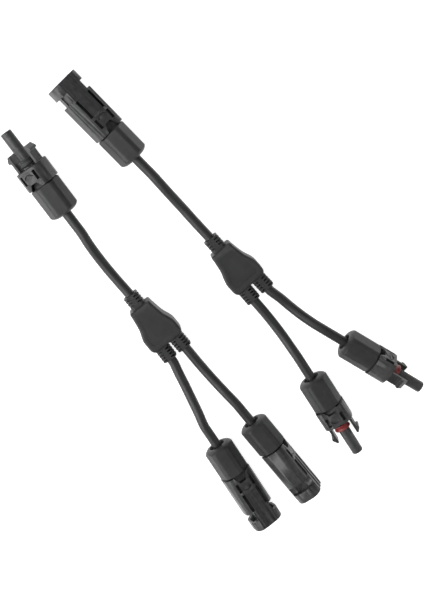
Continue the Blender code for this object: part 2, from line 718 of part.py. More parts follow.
def cable(name, relief, relief_length, middle, base, parent):
    """A cable from inside its strain relief to inside its connector's housing."""
    inside = JUNCTION_LENGTH / 2 - SPLICE_LENGTH / 2 - 2 * GAP
    start = [relief.matrix_world @ Vector((x * MM, 0, 0)) / MM
             for x in (-inside, relief_length, relief_length + CABLE_RADIUS)]
    back = -GAP - NUT_LENGTH
    end = [base.matrix_world @ Vector((x * MM, 0, 0)) / MM
           for x in (back - STRAIGHT_BEHIND_NUT, back - STRAIGHT_BEHIND_NUT / 2, back,
                     back / 2, CABLE_FRONT - GAP)]
    route = start + [Vector(point) for point in middle] + end
    curve = bpy.data.curves.new(name, "CURVE")
    curve.dimensions = "3D"
    curve.bevel_depth = CABLE_RADIUS * MM
    curve.bevel_resolution = 3
    curve.use_fill_caps = True
    spline = curve.splines.new("POLY")
    spline.points.add(CABLE_POINTS - 1)
    for spot, point in zip(spline.points, smooth_route(route, CABLE_POINTS)):
        spot.co = (*(point * MM), 1.0)
    obj = bpy.data.objects.new(name, curve)
    PARTS.objects.link(obj)
    curve.materials.append(material_for("cable_sheath"))
    obj.parent = parent
    return obj


# ---- putting the leads together -------------------------------------------
def reach_below(roll):
    """How far a shell reaches below its axis at a roll, from its rounded section."""
    angle = math.radians(roll)
    across = (SHELL_HALF - SHELL_CORNER) * abs(math.sin(angle))
    down = (SHELL_HEIGHT / 2 - SHELL_CORNER) * abs(math.cos(angle))
    return across + down + SHELL_CORNER


def connector(name, kind, x, y, heading, roll, parent):
    """One whole connector at its place, resting on the plane that the lead lies on."""
    height = max(reach_below(roll), NUT_HALF)
    base = frame(name, (x, y, height), heading, roll, parent)
    nut_base = frame(name + "_nut_axis", (x, y, height), heading, 0.0, parent)
    cap_nut(name + "_cap_nut", nut_base)
    claw_ring(name + "_claw_ring", base)
    gland_seal(name + "_gland_seal", base)
    if kind == "socket":
        socket_housing(name + "_housing", base)
        pin_contact(name + "_pin_contact", base)
    else:
        plug_housing(name + "_housing", base)
        socket_contact(name + "_tube_contact", base)
        seal = "red_rubber" if name.startswith("b") else "black_rubber"
        nose_seal(name + "_nose_seal", base, seal)
        latch_arm(name + "_latch_arm_1", 1, base)
        latch_arm(name + "_latch_arm_2", -1, base)
    return base


def build():
    """Both leads."""
    for lead, (x, y, heading) in JUNCTIONS.items():
        lead_base = bpy.data.objects.new(f"lead_{lead}", None)
        PARTS.objects.link(lead_base)
        base = frame(f"{lead}_junction_place", (x, y, 0.0), heading + 90, parent=lead_base)
        body = y_junction(f"{lead}_junction", base)
        splice(f"{lead}_splice", base)
        bpy.context.view_layer.update()
        for label in ("trunk", "left", "right"):
            name = f"{lead}_{label}"
            kind, across, along, turn, roll = CONNECTORS[name]
            place_of = connector(name, kind, across, along, turn, roll, lead_base)
            bpy.context.view_layer.update()
            relief = bpy.data.objects[f"{body.name}_{label}_relief"]
            length = TRUNK_RELIEF if label == "trunk" else BRANCH_RELIEF
            cable(f"{name}_cable", relief, length, CABLE_ROUTES[name], place_of, lead_base)


build()
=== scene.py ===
# %% [markdown]
# # Two solar branch leads
#
# The object is a matched pair of short cable leads for solar panels. Each lead joins one
# trunk cable to two branch cables in a moulded Y junction, and every cable ends in a
# connector: a *socket end* with a pin inside, or a *plug end* with a nose and two latches.
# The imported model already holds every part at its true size. This lesson loads it, then
# makes the finished surfaces round it: cables, nuts, housings, latches, seals, junctions,
# and last the materials and the light.

import json
import math

import bmesh
import bpy
from mathutils import Matrix, Vector

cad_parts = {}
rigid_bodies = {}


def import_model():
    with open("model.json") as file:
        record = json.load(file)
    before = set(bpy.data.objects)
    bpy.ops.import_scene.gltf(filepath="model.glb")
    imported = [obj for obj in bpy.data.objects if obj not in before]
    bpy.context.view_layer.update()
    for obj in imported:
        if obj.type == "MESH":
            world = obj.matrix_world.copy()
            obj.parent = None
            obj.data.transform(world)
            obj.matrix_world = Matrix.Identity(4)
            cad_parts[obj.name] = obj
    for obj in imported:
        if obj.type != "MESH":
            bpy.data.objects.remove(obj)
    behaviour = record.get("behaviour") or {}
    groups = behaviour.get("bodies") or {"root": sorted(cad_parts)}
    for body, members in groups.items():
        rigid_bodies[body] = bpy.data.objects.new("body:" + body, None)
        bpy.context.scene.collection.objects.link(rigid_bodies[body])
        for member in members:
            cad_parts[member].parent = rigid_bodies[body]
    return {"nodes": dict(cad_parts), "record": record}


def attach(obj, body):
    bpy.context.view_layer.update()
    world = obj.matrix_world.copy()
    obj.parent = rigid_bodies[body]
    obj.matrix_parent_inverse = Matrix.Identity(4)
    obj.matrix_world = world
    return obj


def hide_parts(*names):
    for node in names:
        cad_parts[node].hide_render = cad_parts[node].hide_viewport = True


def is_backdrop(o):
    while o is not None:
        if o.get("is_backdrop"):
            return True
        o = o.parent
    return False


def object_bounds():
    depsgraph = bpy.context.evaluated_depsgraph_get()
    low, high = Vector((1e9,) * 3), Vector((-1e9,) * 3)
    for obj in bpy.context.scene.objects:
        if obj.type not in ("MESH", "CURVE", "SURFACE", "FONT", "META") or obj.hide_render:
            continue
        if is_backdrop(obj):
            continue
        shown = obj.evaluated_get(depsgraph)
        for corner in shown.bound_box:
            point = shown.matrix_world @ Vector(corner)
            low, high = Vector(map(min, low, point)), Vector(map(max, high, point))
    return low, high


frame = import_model()
cad_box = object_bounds()
joints = {joint["name"]: joint for joint in frame["record"]["behaviour"]["joints"]}
mounts = {mount["name"]: mount for mount in frame["record"]["mounts"]}

# %% [markdown]
# ## The camera
#
# The leads are looked down on from a little beyond their trunk ends, with a long lens, and
# the camera is rolled so that they cross the picture from corner to corner. A camera can be
# aimed with a Track To constraint, but a matrix built from three directions says the roll
# plainly, so its axes are worked out here one after the other.

# %% Place the camera
LENS = 70.0
CAMERA_DISTANCE = 0.705
CAMERA_TILT = math.radians(13.8)
CAMERA_AZIMUTH = math.radians(74.0)
CAMERA_ROLL = math.radians(-39.0)
CAMERA_TARGET = Vector((0.0356, -0.0124, 0.0))


def camera_matrix():
    """Axes and place of the camera: it looks along its own -Z."""
    back = Vector((
        math.sin(CAMERA_TILT) * math.cos(CAMERA_AZIMUTH),
        math.sin(CAMERA_TILT) * math.sin(CAMERA_AZIMUTH),
        math.cos(CAMERA_TILT),
    ))
    level = (-back).cross(Vector((0.0, 1.0, 0.0))).normalized()
    upright = level.cross(-back)
    right = level * math.cos(CAMERA_ROLL) + upright * math.sin(CAMERA_ROLL)
    top = upright * math.cos(CAMERA_ROLL) - level * math.sin(CAMERA_ROLL)
    turn = Matrix((right, top, back)).transposed().to_4x4()
    return Matrix.Translation(CAMERA_TARGET + back * CAMERA_DISTANCE) @ turn


camera_data = bpy.data.cameras.new("studio_camera")
camera_data.lens = LENS
camera = bpy.data.objects.new("studio_camera", camera_data)
bpy.context.scene.collection.objects.link(camera)
camera.matrix_world = camera_matrix()
bpy.context.scene.camera = camera
print("camera at", [round(value, 3) for value in camera.matrix_world.translation])

# %% [markdown]
# ## Seats
#
# A connector is drawn once, lying along X in millimetres, and set down six times. Its seat
# is the matrix that takes it there: the nut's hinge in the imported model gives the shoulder
# and the way that the connector points. A latch hinge or the mating face gives its roll.

# %% Find each connector's seat
SOCKETS = ("a_left", "a_right", "b_trunk")
PLUGS = ("a_trunk", "b_left", "b_right")
TO_METRES = Matrix.Scale(0.001, 4)


def seat_matrix(origin, forward, side):
    """Frame whose X is forward and whose Y is the part of side that is square to it."""
    forward = forward.normalized()
    side = (side - forward * side.dot(forward)).normalized()
    turn = Matrix((forward, side, forward.cross(side))).transposed().to_4x4()
    return Matrix.Translation(origin) @ turn @ TO_METRES


def find_seats():
    """Two seats for each connector: one rolled with its housing, one level for its nut."""
    rolled = {}
    level = {}
    for name in SOCKETS + PLUGS:
        hinge = joints[name + "_nut_turn"]
        origin = Vector(hinge["pos_m"])
        forward = -Vector(hinge["axis"])
        if name in PLUGS:
            side = Vector(joints[name + "_latch_1"]["pos_m"]) - origin
        else:
            upward = Vector(mounts[name + "_mating_face"]["pos_m"]) - origin
            side = upward.cross(forward)
        rolled[name] = seat_matrix(origin, forward, side)
        level[name] = seat_matrix(origin, forward, Vector((0, 0, 1)).cross(forward))
    return rolled, level


seats, nut_seats = find_seats()
print("seats:", ", ".join(seats))

# %% [markdown]
# ## Cables
#
# Each cable is a stiff round sheath about 6 mm across. A curve with a bevel is the natural
# tool: its points are the route, and Blender sweeps the round section along it. The route
# starts inside a strain relief, passes a few listed points, and ends inside the
# connector. A Catmull-Rom curve through those points keeps every bend gentle. The bevel is
# one metre deep and each point's radius scales it down to 3 mm, because Blender takes a
# curve's bounding box from the radius of its points.

# %% Draw the cables
CABLE_RADIUS = 0.003
CABLE_POINTS = 40
NUT_BACK = -21.3
CABLE_END = -3.2
LEAD_IN = 7.5
LEAD_OUT = 3.0
JUNCTION_PLACES = {"a": (0.0, 0.0, 0.0), "b": (0.0596, -0.003, 3.7)}
JUNCTION_LENGTH = 28.4
CABLE_LEVEL = 6.5
BRANCH_SPACING = 5.3
BRANCH_SPLAY = 1.5
RELIEF_LENGTH = {"trunk": 8.4, "left": 9.0, "right": 9.0}
RELIEF_INSIDE = 7.1
ROUTES = {
    "a_trunk": [(-0.0003, 0.034, 0.0063), (-0.0004, 0.043, 0.0064), (-0.0001, 0.052, 0.0073),
                (0.0006, 0.061, 0.0088)],
    "a_left": [(-0.0076, -0.034, 0.0063), (-0.0096, -0.043, 0.0063), (-0.0117, -0.052, 0.0071),
               (-0.0138, -0.061, 0.0084)],
    "a_right": [(0.0056, -0.034, 0.0064), (0.0058, -0.043, 0.0066), (0.0063, -0.052, 0.0077),
                (0.0071, -0.0615, 0.0092)],
    "b_trunk": [(0.0571, 0.034, 0.0064), (0.0566, 0.043, 0.0064), (0.056, 0.052, 0.0075),
                (0.0555, 0.061, 0.0089)],
    "b_left": [(0.056, -0.038, 0.0063), (0.056, -0.047, 0.0062), (0.0558, -0.056, 0.0069),
               (0.0553, -0.0645, 0.0081)],
    "b_right": [(0.0688, -0.036, 0.0064), (0.0704, -0.044, 0.0066), (0.0724, -0.052, 0.0078),
                (0.0749, -0.06, 0.0093)],
}


def junction_seat(lead):
    """Frame of a junction: its trunk cable leaves along +Y."""
    x, y, heading = JUNCTION_PLACES[lead]
    turn = Matrix.Rotation(math.radians(heading), 4, "Z")
    return Matrix.Translation((x, y, 0.0)) @ turn @ TO_METRES


def relief_turn(label):
    """Frame of a strain relief inside its junction's frame, X pointing out of it."""
    if label == "trunk":
        place = (0.0, JUNCTION_LENGTH / 2, CABLE_LEVEL)
        heading = 90.0
    else:
        side = -1 if label == "left" else 1
        place = (side * BRANCH_SPACING, -JUNCTION_LENGTH / 2, CABLE_LEVEL)
        heading = side * BRANCH_SPLAY - 90.0
    return Matrix.Translation(place) @ Matrix.Rotation(math.radians(heading), 4, "Z")


def smooth_route(points, count):
    """Evenly spaced points on a Catmull-Rom curve through the route's own points."""
    ends = [points[0] * 2 - points[1], *points, points[-1] * 2 - points[-2]]
    dense = []
    for before, start, end, after in zip(ends, ends[1:], ends[2:], ends[3:]):
        for step in range(16):
            t = step / 16
            dense.append(
                0.5 * (
                    2 * start + (end - before) * t
                    + (2 * before - 5 * start + 4 * end - after) * t ** 2
                    + (3 * start - before - 3 * end + after) * t ** 3
                )
            )
    dense.append(points[-1])
    lengths = [0.0]
    for first, second in zip(dense, dense[1:]):
        lengths.append(lengths[-1] + (second - first).length)
    spaced = []
    for index in range(count):
        wanted = lengths[-1] * index / (count - 1)
        spot = max(i for i, run in enumerate(lengths) if run <= wanted + 1e-9)
        spot = min(spot, len(dense) - 2)
        part = (wanted - lengths[spot]) / (lengths[spot + 1] - lengths[spot])
        spaced.append(dense[spot].lerp(dense[spot + 1], part))
    return spaced, lengths[-1]


def draw_cable(name):
    """A cable as a curve, from its strain relief to its connector."""
    lead, label = name.split("_")
    relief = junction_seat(lead) @ relief_turn(label)
    length = RELIEF_LENGTH[label]
    leaving = [
        relief @ Vector((along, 0, 0)) for along in (-RELIEF_INSIDE, length, length + LEAD_OUT)
    ]
    arriving = [
        seats[name] @ Vector((along, 0, 0))
        for along in (NUT_BACK - 2 * LEAD_IN, NUT_BACK - LEAD_IN, NUT_BACK, NUT_BACK / 2, CABLE_END)
    ]
    route = leaving + [Vector(point) for point in ROUTES[name]] + arriving
    points, run = smooth_route(route, CABLE_POINTS)
    curve = bpy.data.curves.new(name + "_sheath", "CURVE")
    curve.dimensions = "3D"
    curve.bevel_depth = 1.0
    curve.bevel_resolution = 8
    curve.use_fill_caps = True
    spline = curve.splines.new("POLY")
    spline.points.add(len(points) - 1)
    for spot, point in zip(spline.points, points):
        spot.co = (*point, 1.0)
        spot.radius = CABLE_RADIUS
    spline.use_smooth = True
    sheath = bpy.data.objects.new(name + "_sheath", curve)
    bpy.context.scene.collection.objects.link(sheath)
    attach(sheath, "root" if lead == "a" else "lead_b")
    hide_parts(name + "_cable")
    print(name, "cable", round(run * 1000, 1), "mm")
    return sheath


sheaths = {name: draw_cable(name) for name in seats}

# %% [markdown]
# ## A workbench
#
# Moulded parts are shapes joined and cut out of each other, so a few helpers do for all of
# them: spin a profile, round a bar, give a flat outline thickness, and then cut or join
# with a Boolean that is applied at once. A pattern stays in millimetres on the workbench
# until copies of it are set down in their seats.

# %% Helpers for patterns
CLEAR = 1.0
workbench = bpy.data.collections.new("workbench")
bpy.context.scene.collection.children.link(workbench)


def blank(name, shape):
    """Close a bmesh, turn its faces outwards and lay it on the workbench."""
    bmesh.ops.remove_doubles(shape, verts=shape.verts, dist=1e-4)
    bmesh.ops.recalc_face_normals(shape, faces=shape.faces)
    mesh = bpy.data.meshes.new(name)
    shape.to_mesh(mesh)
    shape.free()
    pattern = bpy.data.objects.new(name, mesh)
    workbench.objects.link(pattern)
    return pattern


def turned(name, profile, steps=64):
    """Spin a profile of (radius, x) points about the X axis."""
    shape = bmesh.new()
    spots = [shape.verts.new((along, radius, 0.0)) for radius, along in profile]
    lines = [shape.edges.new(pair) for pair in zip(spots, spots[1:])]
    if profile[0][0] > 0:
        lines.append(shape.edges.new((spots[-1], spots[0])))
    bmesh.ops.spin(
        shape, geom=spots + lines, cent=(0, 0, 0), axis=(1, 0, 0), angle=2 * math.pi,
        steps=steps, use_merge=True, use_duplicate=False,
    )
    return blank(name, shape)


def add_block(shape, low, high):
    """Add a plain block between two corners."""
    middle = [(a + b) / 2 for a, b in zip(low, high)]
    size = [b - a for a, b in zip(low, high)]
    matrix = Matrix.Translation(middle) @ Matrix.Diagonal((*size, 1.0))
    return bmesh.ops.create_cube(shape, size=1.0, matrix=matrix)


def blocks(name, corners):
    """Separate blocks in one object, for cutting."""
    shape = bmesh.new()
    for low, high in corners:
        add_block(shape, low, high)
    return blank(name, shape)


def bar(name, low, high, corner, rim=0.0, segments=10):
    """A bar along X with rounded long edges, and its front rim eased."""
    shape = bmesh.new()
    add_block(shape, low, high)
    long_edges = [e for e in shape.edges if abs(e.verts[0].co.x - e.verts[1].co.x) > 0.1]
    bmesh.ops.bevel(
        shape, geom=long_edges, offset=corner, offset_type="OFFSET", segments=segments,
        profile=0.5, affect="EDGES", material=-1,
    )
    if rim:
        rims = [e for e in shape.edges if all(v.co.x > high[0] - 1e-4 for v in e.verts)]
        bmesh.ops.bevel(
            shape, geom=rims, offset=rim, offset_type="OFFSET", segments=3,
            profile=0.5, affect="EDGES", material=-1,
        )
    return blank(name, shape)


def plate(name, points, low, high, rim=0.0):
    """A flat outline given thickness along Z, with both rims eased."""
    shape = bmesh.new()
    face = shape.faces.new([shape.verts.new((x, y, low)) for x, y in points])
    raised = bmesh.ops.extrude_face_region(shape, geom=[face])["geom"]
    tops = [item for item in raised if isinstance(item, bmesh.types.BMVert)]
    bmesh.ops.translate(shape, vec=(0, 0, high - low), verts=tops)
    if rim:
        rims = [e for e in shape.edges if abs(e.verts[0].co.z - e.verts[1].co.z) < 1e-4]
        bmesh.ops.bevel(
            shape, geom=rims, offset=rim, offset_type="OFFSET", segments=4,
            profile=0.5, affect="EDGES", material=-1,
        )
    return blank(name, shape)


def settle(pattern):
    """Apply the pattern's modifiers."""
    graph = bpy.context.evaluated_depsgraph_get()
    mesh = bpy.data.meshes.new_from_object(pattern.evaluated_get(graph))
    pattern.modifiers.clear()
    pattern.data = mesh
    return pattern


def combine(pattern, tools, operation="DIFFERENCE"):
    """Cut tools out of a pattern, or join them on, and clear them away."""
    for tool in tools:
        step = pattern.modifiers.new("step", "BOOLEAN")
        step.operation = operation
        step.solver = "EXACT"
        step.object = tool
    settle(pattern)
    for tool in tools:
        bpy.data.objects.remove(tool, do_unlink=True)
    return pattern


def ease(pattern, width, angle=40.0, segments=2):
    """Round the sharp edges that a mould would leave round, and even out the shading."""
    shape = bmesh.new()
    shape.from_mesh(pattern.data)
    bmesh.ops.remove_doubles(shape, verts=shape.verts, dist=0.02)
    bmesh.ops.dissolve_degenerate(shape, edges=shape.edges, dist=0.02)
    shape.to_mesh(pattern.data)
    shape.free()
    if width:
        edges = pattern.modifiers.new("edges", "BEVEL")
        edges.width = width
        edges.segments = segments
        edges.limit_method = "ANGLE"
        edges.angle_limit = math.radians(angle)
        edges.use_clamp_overlap = True
        edges.miter_outer = "MITER_ARC"
        settle(pattern)
    pattern.data.shade_smooth()
    pattern.data.set_sharp_from_angle(angle=math.radians(angle))
    evened = pattern.modifiers.new("evened", "WEIGHTED_NORMAL")
    evened.keep_sharp = True
    settle(pattern)
    print(pattern.name, len(pattern.data.polygons), "faces")
    return pattern


finished = {}


def set_down(pattern, name, seat, body, node, slot):
    """Copy a pattern into its seat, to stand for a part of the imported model."""
    mesh = pattern.data.copy()
    mesh.name = name
    mesh.transform(seat)
    piece = bpy.data.objects.new(name, mesh)
    bpy.context.scene.collection.objects.link(piece)
    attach(piece, body)
    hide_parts(node)
    finished.setdefault(slot, []).append(piece)
    return piece


def lead_body(name):
    """The body of the lead that a connector belongs to."""
    return "root" if name.startswith("a") else "lead_b"


# %% [markdown]
# ## Cap nuts
#
# The nut is what a hand or a spanner turns: six flats with well rounded edges, a chamfered
# front and a domed back with a recess round the cable. On a real nut the flats end in arcs,
# because the ends were turned round. So the pattern is a six-sided bar with bevelled edges,
# intersected with a turned envelope, and the arcs come by themselves.

# %% Cap nut
NUT_FRONT = -0.15
NUT_LENGTH = 21.15
NUT_HALF = 8.75
NUT_CORNER = NUT_HALF / math.cos(math.pi / 6)
NUT_ROUNDING = 2.2
NUT_RIM = NUT_HALF - 0.35
NUT_DOME = 4.6
NUT_CHAMFER = 1.3
NUT_BORE = 7.3
NUT_MOUTH = 7.75
CABLE_HOLE = 3.5
DOME_STEPS = 11


def nut_pattern():
    """Hexagonal cap nut, open at the front and recessed round the cable at the back."""
    shape = bmesh.new()
    back = NUT_FRONT - NUT_LENGTH
    lie_down = Matrix.Translation((NUT_FRONT - NUT_LENGTH / 2, 0, 0))
    lie_down = lie_down @ Matrix.Rotation(math.pi / 2, 4, "Y")
    bmesh.ops.create_cone(
        shape, cap_ends=True, segments=6, radius1=NUT_CORNER, radius2=NUT_CORNER,
        depth=NUT_LENGTH, matrix=lie_down,
    )
    long_edges = [e for e in shape.edges if abs(e.verts[0].co.x - e.verts[1].co.x) > 1.0]
    bmesh.ops.bevel(
        shape, geom=long_edges, offset=NUT_ROUNDING, offset_type="OFFSET", segments=8,
        profile=0.5, affect="EDGES", material=-1,
    )
    nut = blank("cap_nut", shape)
    envelope = [
        (0.0, NUT_FRONT), (NUT_RIM - 0.15, NUT_FRONT), (NUT_RIM, NUT_FRONT - 0.15),
        (NUT_CORNER + 0.6, NUT_FRONT - NUT_CHAMFER - 0.5),
        (NUT_CORNER + 0.6, back + NUT_DOME + 1.4),
    ]
    for step in range(DOME_STEPS + 1):
        angle = math.radians(3 + 84 * step / DOME_STEPS)
        across = NUT_CORNER - NUT_DOME + NUT_DOME * math.cos(angle)
        envelope.append((across, back + NUT_DOME - NUT_DOME * math.sin(angle)))
    envelope.append((0.0, back))
    combine(nut, [turned("envelope", envelope, 96)], "INTERSECT")
    bore = [
        (0.0, CLEAR), (NUT_MOUTH, CLEAR), (NUT_MOUTH, NUT_FRONT), (NUT_BORE, NUT_FRONT - 0.5),
        (NUT_BORE, -11.1), (6.3, -12.3), (4.9, -16.3), (CABLE_HOLE, -17.8),
        (CABLE_HOLE, back + 2.0), (4.5, back + 1.8),
        (5.0, back + 0.2), (5.2, back - CLEAR), (0.0, back - CLEAR),
    ]
    combine(nut, [turned("bore", bore)])
    return ease(nut, 0.0, 32.0)


cap_nut = nut_pattern()
for name in nut_seats:
    set_down(cap_nut, name + "_cap", nut_seats[name], name + "_nut", name + "_cap_nut",
             "nut_moulding")

# %% [markdown]
# ## Claw rings and gland seals
#
# Inside the nut a ring of claws squeezes a rubber sleeve and the cable. They only show when
# the nut is backed off. Both are turned; the claws are then slotted with thin blocks.

# %% Claw ring and gland seal
SHEATH_BORE = 3.3
CLAW_FRONT = -10.8
CLAW_BACK = -16.0
CLAW_FLANGE = 5.8
CLAW_SLOT_HALF = 0.4
GLAND_RADIUS = 4.9
GLAND_FRONT = -3.2
GLAND_BACK = -10.2
GLAND_EDGE = 0.3


def claw_pattern():
    """Flanged ring with six claws that taper backwards."""
    profile = [
        (SHEATH_BORE, CLAW_FRONT), (CLAW_FLANGE - 0.2, CLAW_FRONT),
        (CLAW_FLANGE, CLAW_FRONT - 0.2), (CLAW_FLANGE, CLAW_FRONT - 1.2),
        (CLAW_FLANGE - 0.4, CLAW_FRONT - 1.5), (4.5, CLAW_BACK + 0.2),
        (4.3, CLAW_BACK), (SHEATH_BORE, CLAW_BACK),
    ]
    ring = turned("claw_ring", profile, 60)
    slots = []
    for index in range(3):
        shape = bmesh.new()
        slot = add_block(
            shape, (CLAW_BACK - CLEAR, -7.0, -CLAW_SLOT_HALF),
            (CLAW_FRONT - 1.8, 7.0, CLAW_SLOT_HALF),
        )
        turn = Matrix.Rotation(index * math.pi / 3, 4, "X")
        bmesh.ops.transform(shape, matrix=turn, verts=slot["verts"])
        slots.append(blank("slot", shape))
    return ease(combine(ring, slots), 0.0, 32.0)


def gland_pattern():
    """Rubber sleeve with rounded ends."""
    profile = [
        (SHEATH_BORE, GLAND_FRONT - GLAND_EDGE), (SHEATH_BORE + GLAND_EDGE, GLAND_FRONT),
        (GLAND_RADIUS - GLAND_EDGE, GLAND_FRONT), (GLAND_RADIUS, GLAND_FRONT - GLAND_EDGE),
        (GLAND_RADIUS, GLAND_BACK + GLAND_EDGE), (GLAND_RADIUS - GLAND_EDGE, GLAND_BACK),
        (SHEATH_BORE + GLAND_EDGE, GLAND_BACK), (SHEATH_BORE, GLAND_BACK + GLAND_EDGE),
    ]
    return ease(turned("gland_seal", profile), 0.0, 50.0)


claw_ring = claw_pattern()
gland_seal = gland_pattern()
for name, seat in seats.items():
    set_down(claw_ring, name + "_claws", seat, name + "_clamp", name + "_claw_ring",
             "housing_moulding")
    set_down(gland_seal, name + "_gland", seat, lead_body(name), name + "_gland_seal", "black_seal")

# %% [markdown]
# ## Housings
#
# Both housings are one black moulding: a rounded shell, and behind its shoulder a threaded
# sleeve that the nut screws on. The thread is a small ridge carried round the sleeve by a
# spin that also moves along the axis, so it is a true helix. It shows when a nut backs off.

# %% Threaded sleeve
SLEEVE_LENGTH = 10.5
SLEEVE_BORE = 5.2
THREAD_ROOT = 6.45
THREAD_CREST = 6.98
THREAD_PITCH = 3.0
THREAD_TURNS = 2.5
THREAD_STEPS = 40


def sleeve_blank():
    """Plain sleeve with one turn after another of thread joined on."""
    profile = [
        (0.0, CLEAR), (THREAD_ROOT, CLEAR), (THREAD_ROOT, 0.4 - SLEEVE_LENGTH),
        (THREAD_ROOT - 0.4, -SLEEVE_LENGTH), (0.0, -SLEEVE_LENGTH),
    ]
    sleeve = turned("sleeve", profile)
    shape = bmesh.new()
    start = 1.6 - SLEEVE_LENGTH
    section = [
        (start - 0.75, THREAD_ROOT - 0.2), (start - 0.3, THREAD_CREST),
        (start + 0.3, THREAD_CREST), (start + 0.75, THREAD_ROOT - 0.2),
    ]
    spots = [shape.verts.new((along, radius, 0.0)) for along, radius in section]
    lines = [shape.edges.new((spots[i], spots[(i + 1) % 4])) for i in range(4)]
    spun = bmesh.ops.spin(
        shape, geom=spots + lines, cent=(0, 0, 0), axis=(1, 0, 0),
        dvec=(THREAD_PITCH / THREAD_STEPS, 0, 0), angle=2 * math.pi * THREAD_TURNS,
        steps=round(THREAD_STEPS * THREAD_TURNS),
    )
    shape.faces.new(spots)
    shape.faces.new([item for item in spun["geom_last"] if isinstance(item, bmesh.types.BMVert)])
    ridge = blank("ridge", shape)
    return combine(sleeve, [ridge], "UNION")


# %% [markdown]
# ## Marks on the wide faces
#
# Each wide face carries a raised band between two rows of deep slots, a rounded tongue with
# an arc at its end, and a pocket against the nut. On the socket end a fine rib runs on to
# the mouth. They are cut with outlines that stand through the face, once above and once
# below. A real slot opens into the hollow shell and looks black, so each one here leads
# into a wider hollow under the face.

# %% Cutters for the wide faces
SHELL_HALF = 9.55
SHELL_TOP = 8.2
SHELL_CORNER = 6.0
BAND_HALF = 4.0
SLOT_OUTER = 5.9
SLOT_DEPTH = 2.0
SLOT_FLOOR = 4.3
SLOT_ROOF = 7.4
HOLLOW_INNER = BAND_HALF - 0.8
HOLLOW_OUTER = SLOT_OUTER + 0.1
HOLLOW_ENDS = 0.3
TONGUE_RADIUS = 3.2
ARC_HALF = math.radians(66)
ARC_STEPS = 16
ARC_WIDTH = 0.5
ARC_DEPTH = 0.8
CHANNEL_OUTER = 8.25
CHANNEL_HALF = 3.8
POCKET_BACK_HALF = 4.4
POCKET_FRONT_HALF = 2.2
POCKET_DEPTH = 3.4


def both_faces(name, points, depth):
    """An outline cut into the upper and the lower wide face."""
    top = plate(name, points, SHELL_TOP - depth, SHELL_TOP + CLEAR)
    under = plate(name, points, -SHELL_TOP - CLEAR, -SHELL_TOP + depth)
    return [top, under]


def both_sides(along, across, half_height):
    """Corners of a block on each narrow side, from its ranges along X and out along Y."""
    return [
        ((along[0], -across[1], -half_height), (along[1], -across[0], half_height)),
        ((along[0], across[0], -half_height), (along[1], across[1], half_height)),
    ]


def rectangle(x_low, x_high, y_low, y_high):
    """Corners of a rectangle."""
    return [(x_low, y_low), (x_high, y_low), (x_high, y_high), (x_low, y_high)]


def slot_cutters(runs):
    """Slots along both edges of the band, each opening into a wider hollow underneath."""
    cutters = []
    hollows = []
    for start, end in runs:
        for side in (-1, 1):
            low, high = sorted((side * BAND_HALF, side * SLOT_OUTER))
            cutters += both_faces("slot", rectangle(start, end, low, high), SLOT_DEPTH)
            near, far = sorted((side * HOLLOW_INNER, side * HOLLOW_OUTER))
            for floor, roof in ((SLOT_FLOOR, SLOT_ROOF), (-SLOT_ROOF, -SLOT_FLOOR)):
                hollows.append(((start - HOLLOW_ENDS, near, floor), (end + HOLLOW_ENDS, far, roof)))
    return cutters + [blocks("hollows", hollows)]


def arc_cutters(centre):
    """A narrow arc-shaped groove round the end of the tongue."""
    sweep = [ARC_HALF * (2 * step / ARC_STEPS - 1) for step in range(ARC_STEPS + 1)]
    inner, outer = (
        [(centre + radius * math.cos(angle), radius * math.sin(angle)) for angle in sweep]
        for radius in (TONGUE_RADIUS, TONGUE_RADIUS + ARC_WIDTH)
    )
    return both_faces("arc", inner + outer[::-1], ARC_DEPTH)


def pocket_cutters(length):
    """Pocket against the nut, wide there and narrow at the tongue."""
    points = [
        (-CLEAR, -POCKET_BACK_HALF), (0.0, -POCKET_BACK_HALF), (length, -POCKET_FRONT_HALF),
        (length, POCKET_FRONT_HALF), (0.0, POCKET_BACK_HALF), (-CLEAR, POCKET_BACK_HALF),
    ]
    return both_faces("pocket", points, POCKET_DEPTH)


# %% [markdown]
# ## Socket ends
#
# The socket end is a shroud with a round mouth, two channels that the latches slide down,
# and a window at each side where their barbs snap out. Round each window the shell is
# notched down to a round wall. The pin stands deep inside the mouth.

# %% Socket housing and pin
SOCKET_LENGTH = 39.0
SHORT_SLOT = (4.3, 10.4)
LONG_SLOT = (12.4, 24.9)
FRONT_MARKS = [("groove", 24.5, 4.8, 5.4, 0.7), ("relief", 12.6, 0.5, 3.5, 0.4)]
WINDOW_BACK = 26.2
WINDOW_FRONT = 32.05
WINDOW_INNER = 5.15
WINDOW_HALF = 4.1
CHANNEL_INNER = 4.85
NOTCH_RADIUS = 6.6
MOUTH_RADIUS = 5.65
MOUTH_FLOOR = 33.65
NOSE_BORE = 4.0
NOSE_FLOOR = 14.4
CONTACT_BORE = 2.9
CABLE_FRONT = -2.9


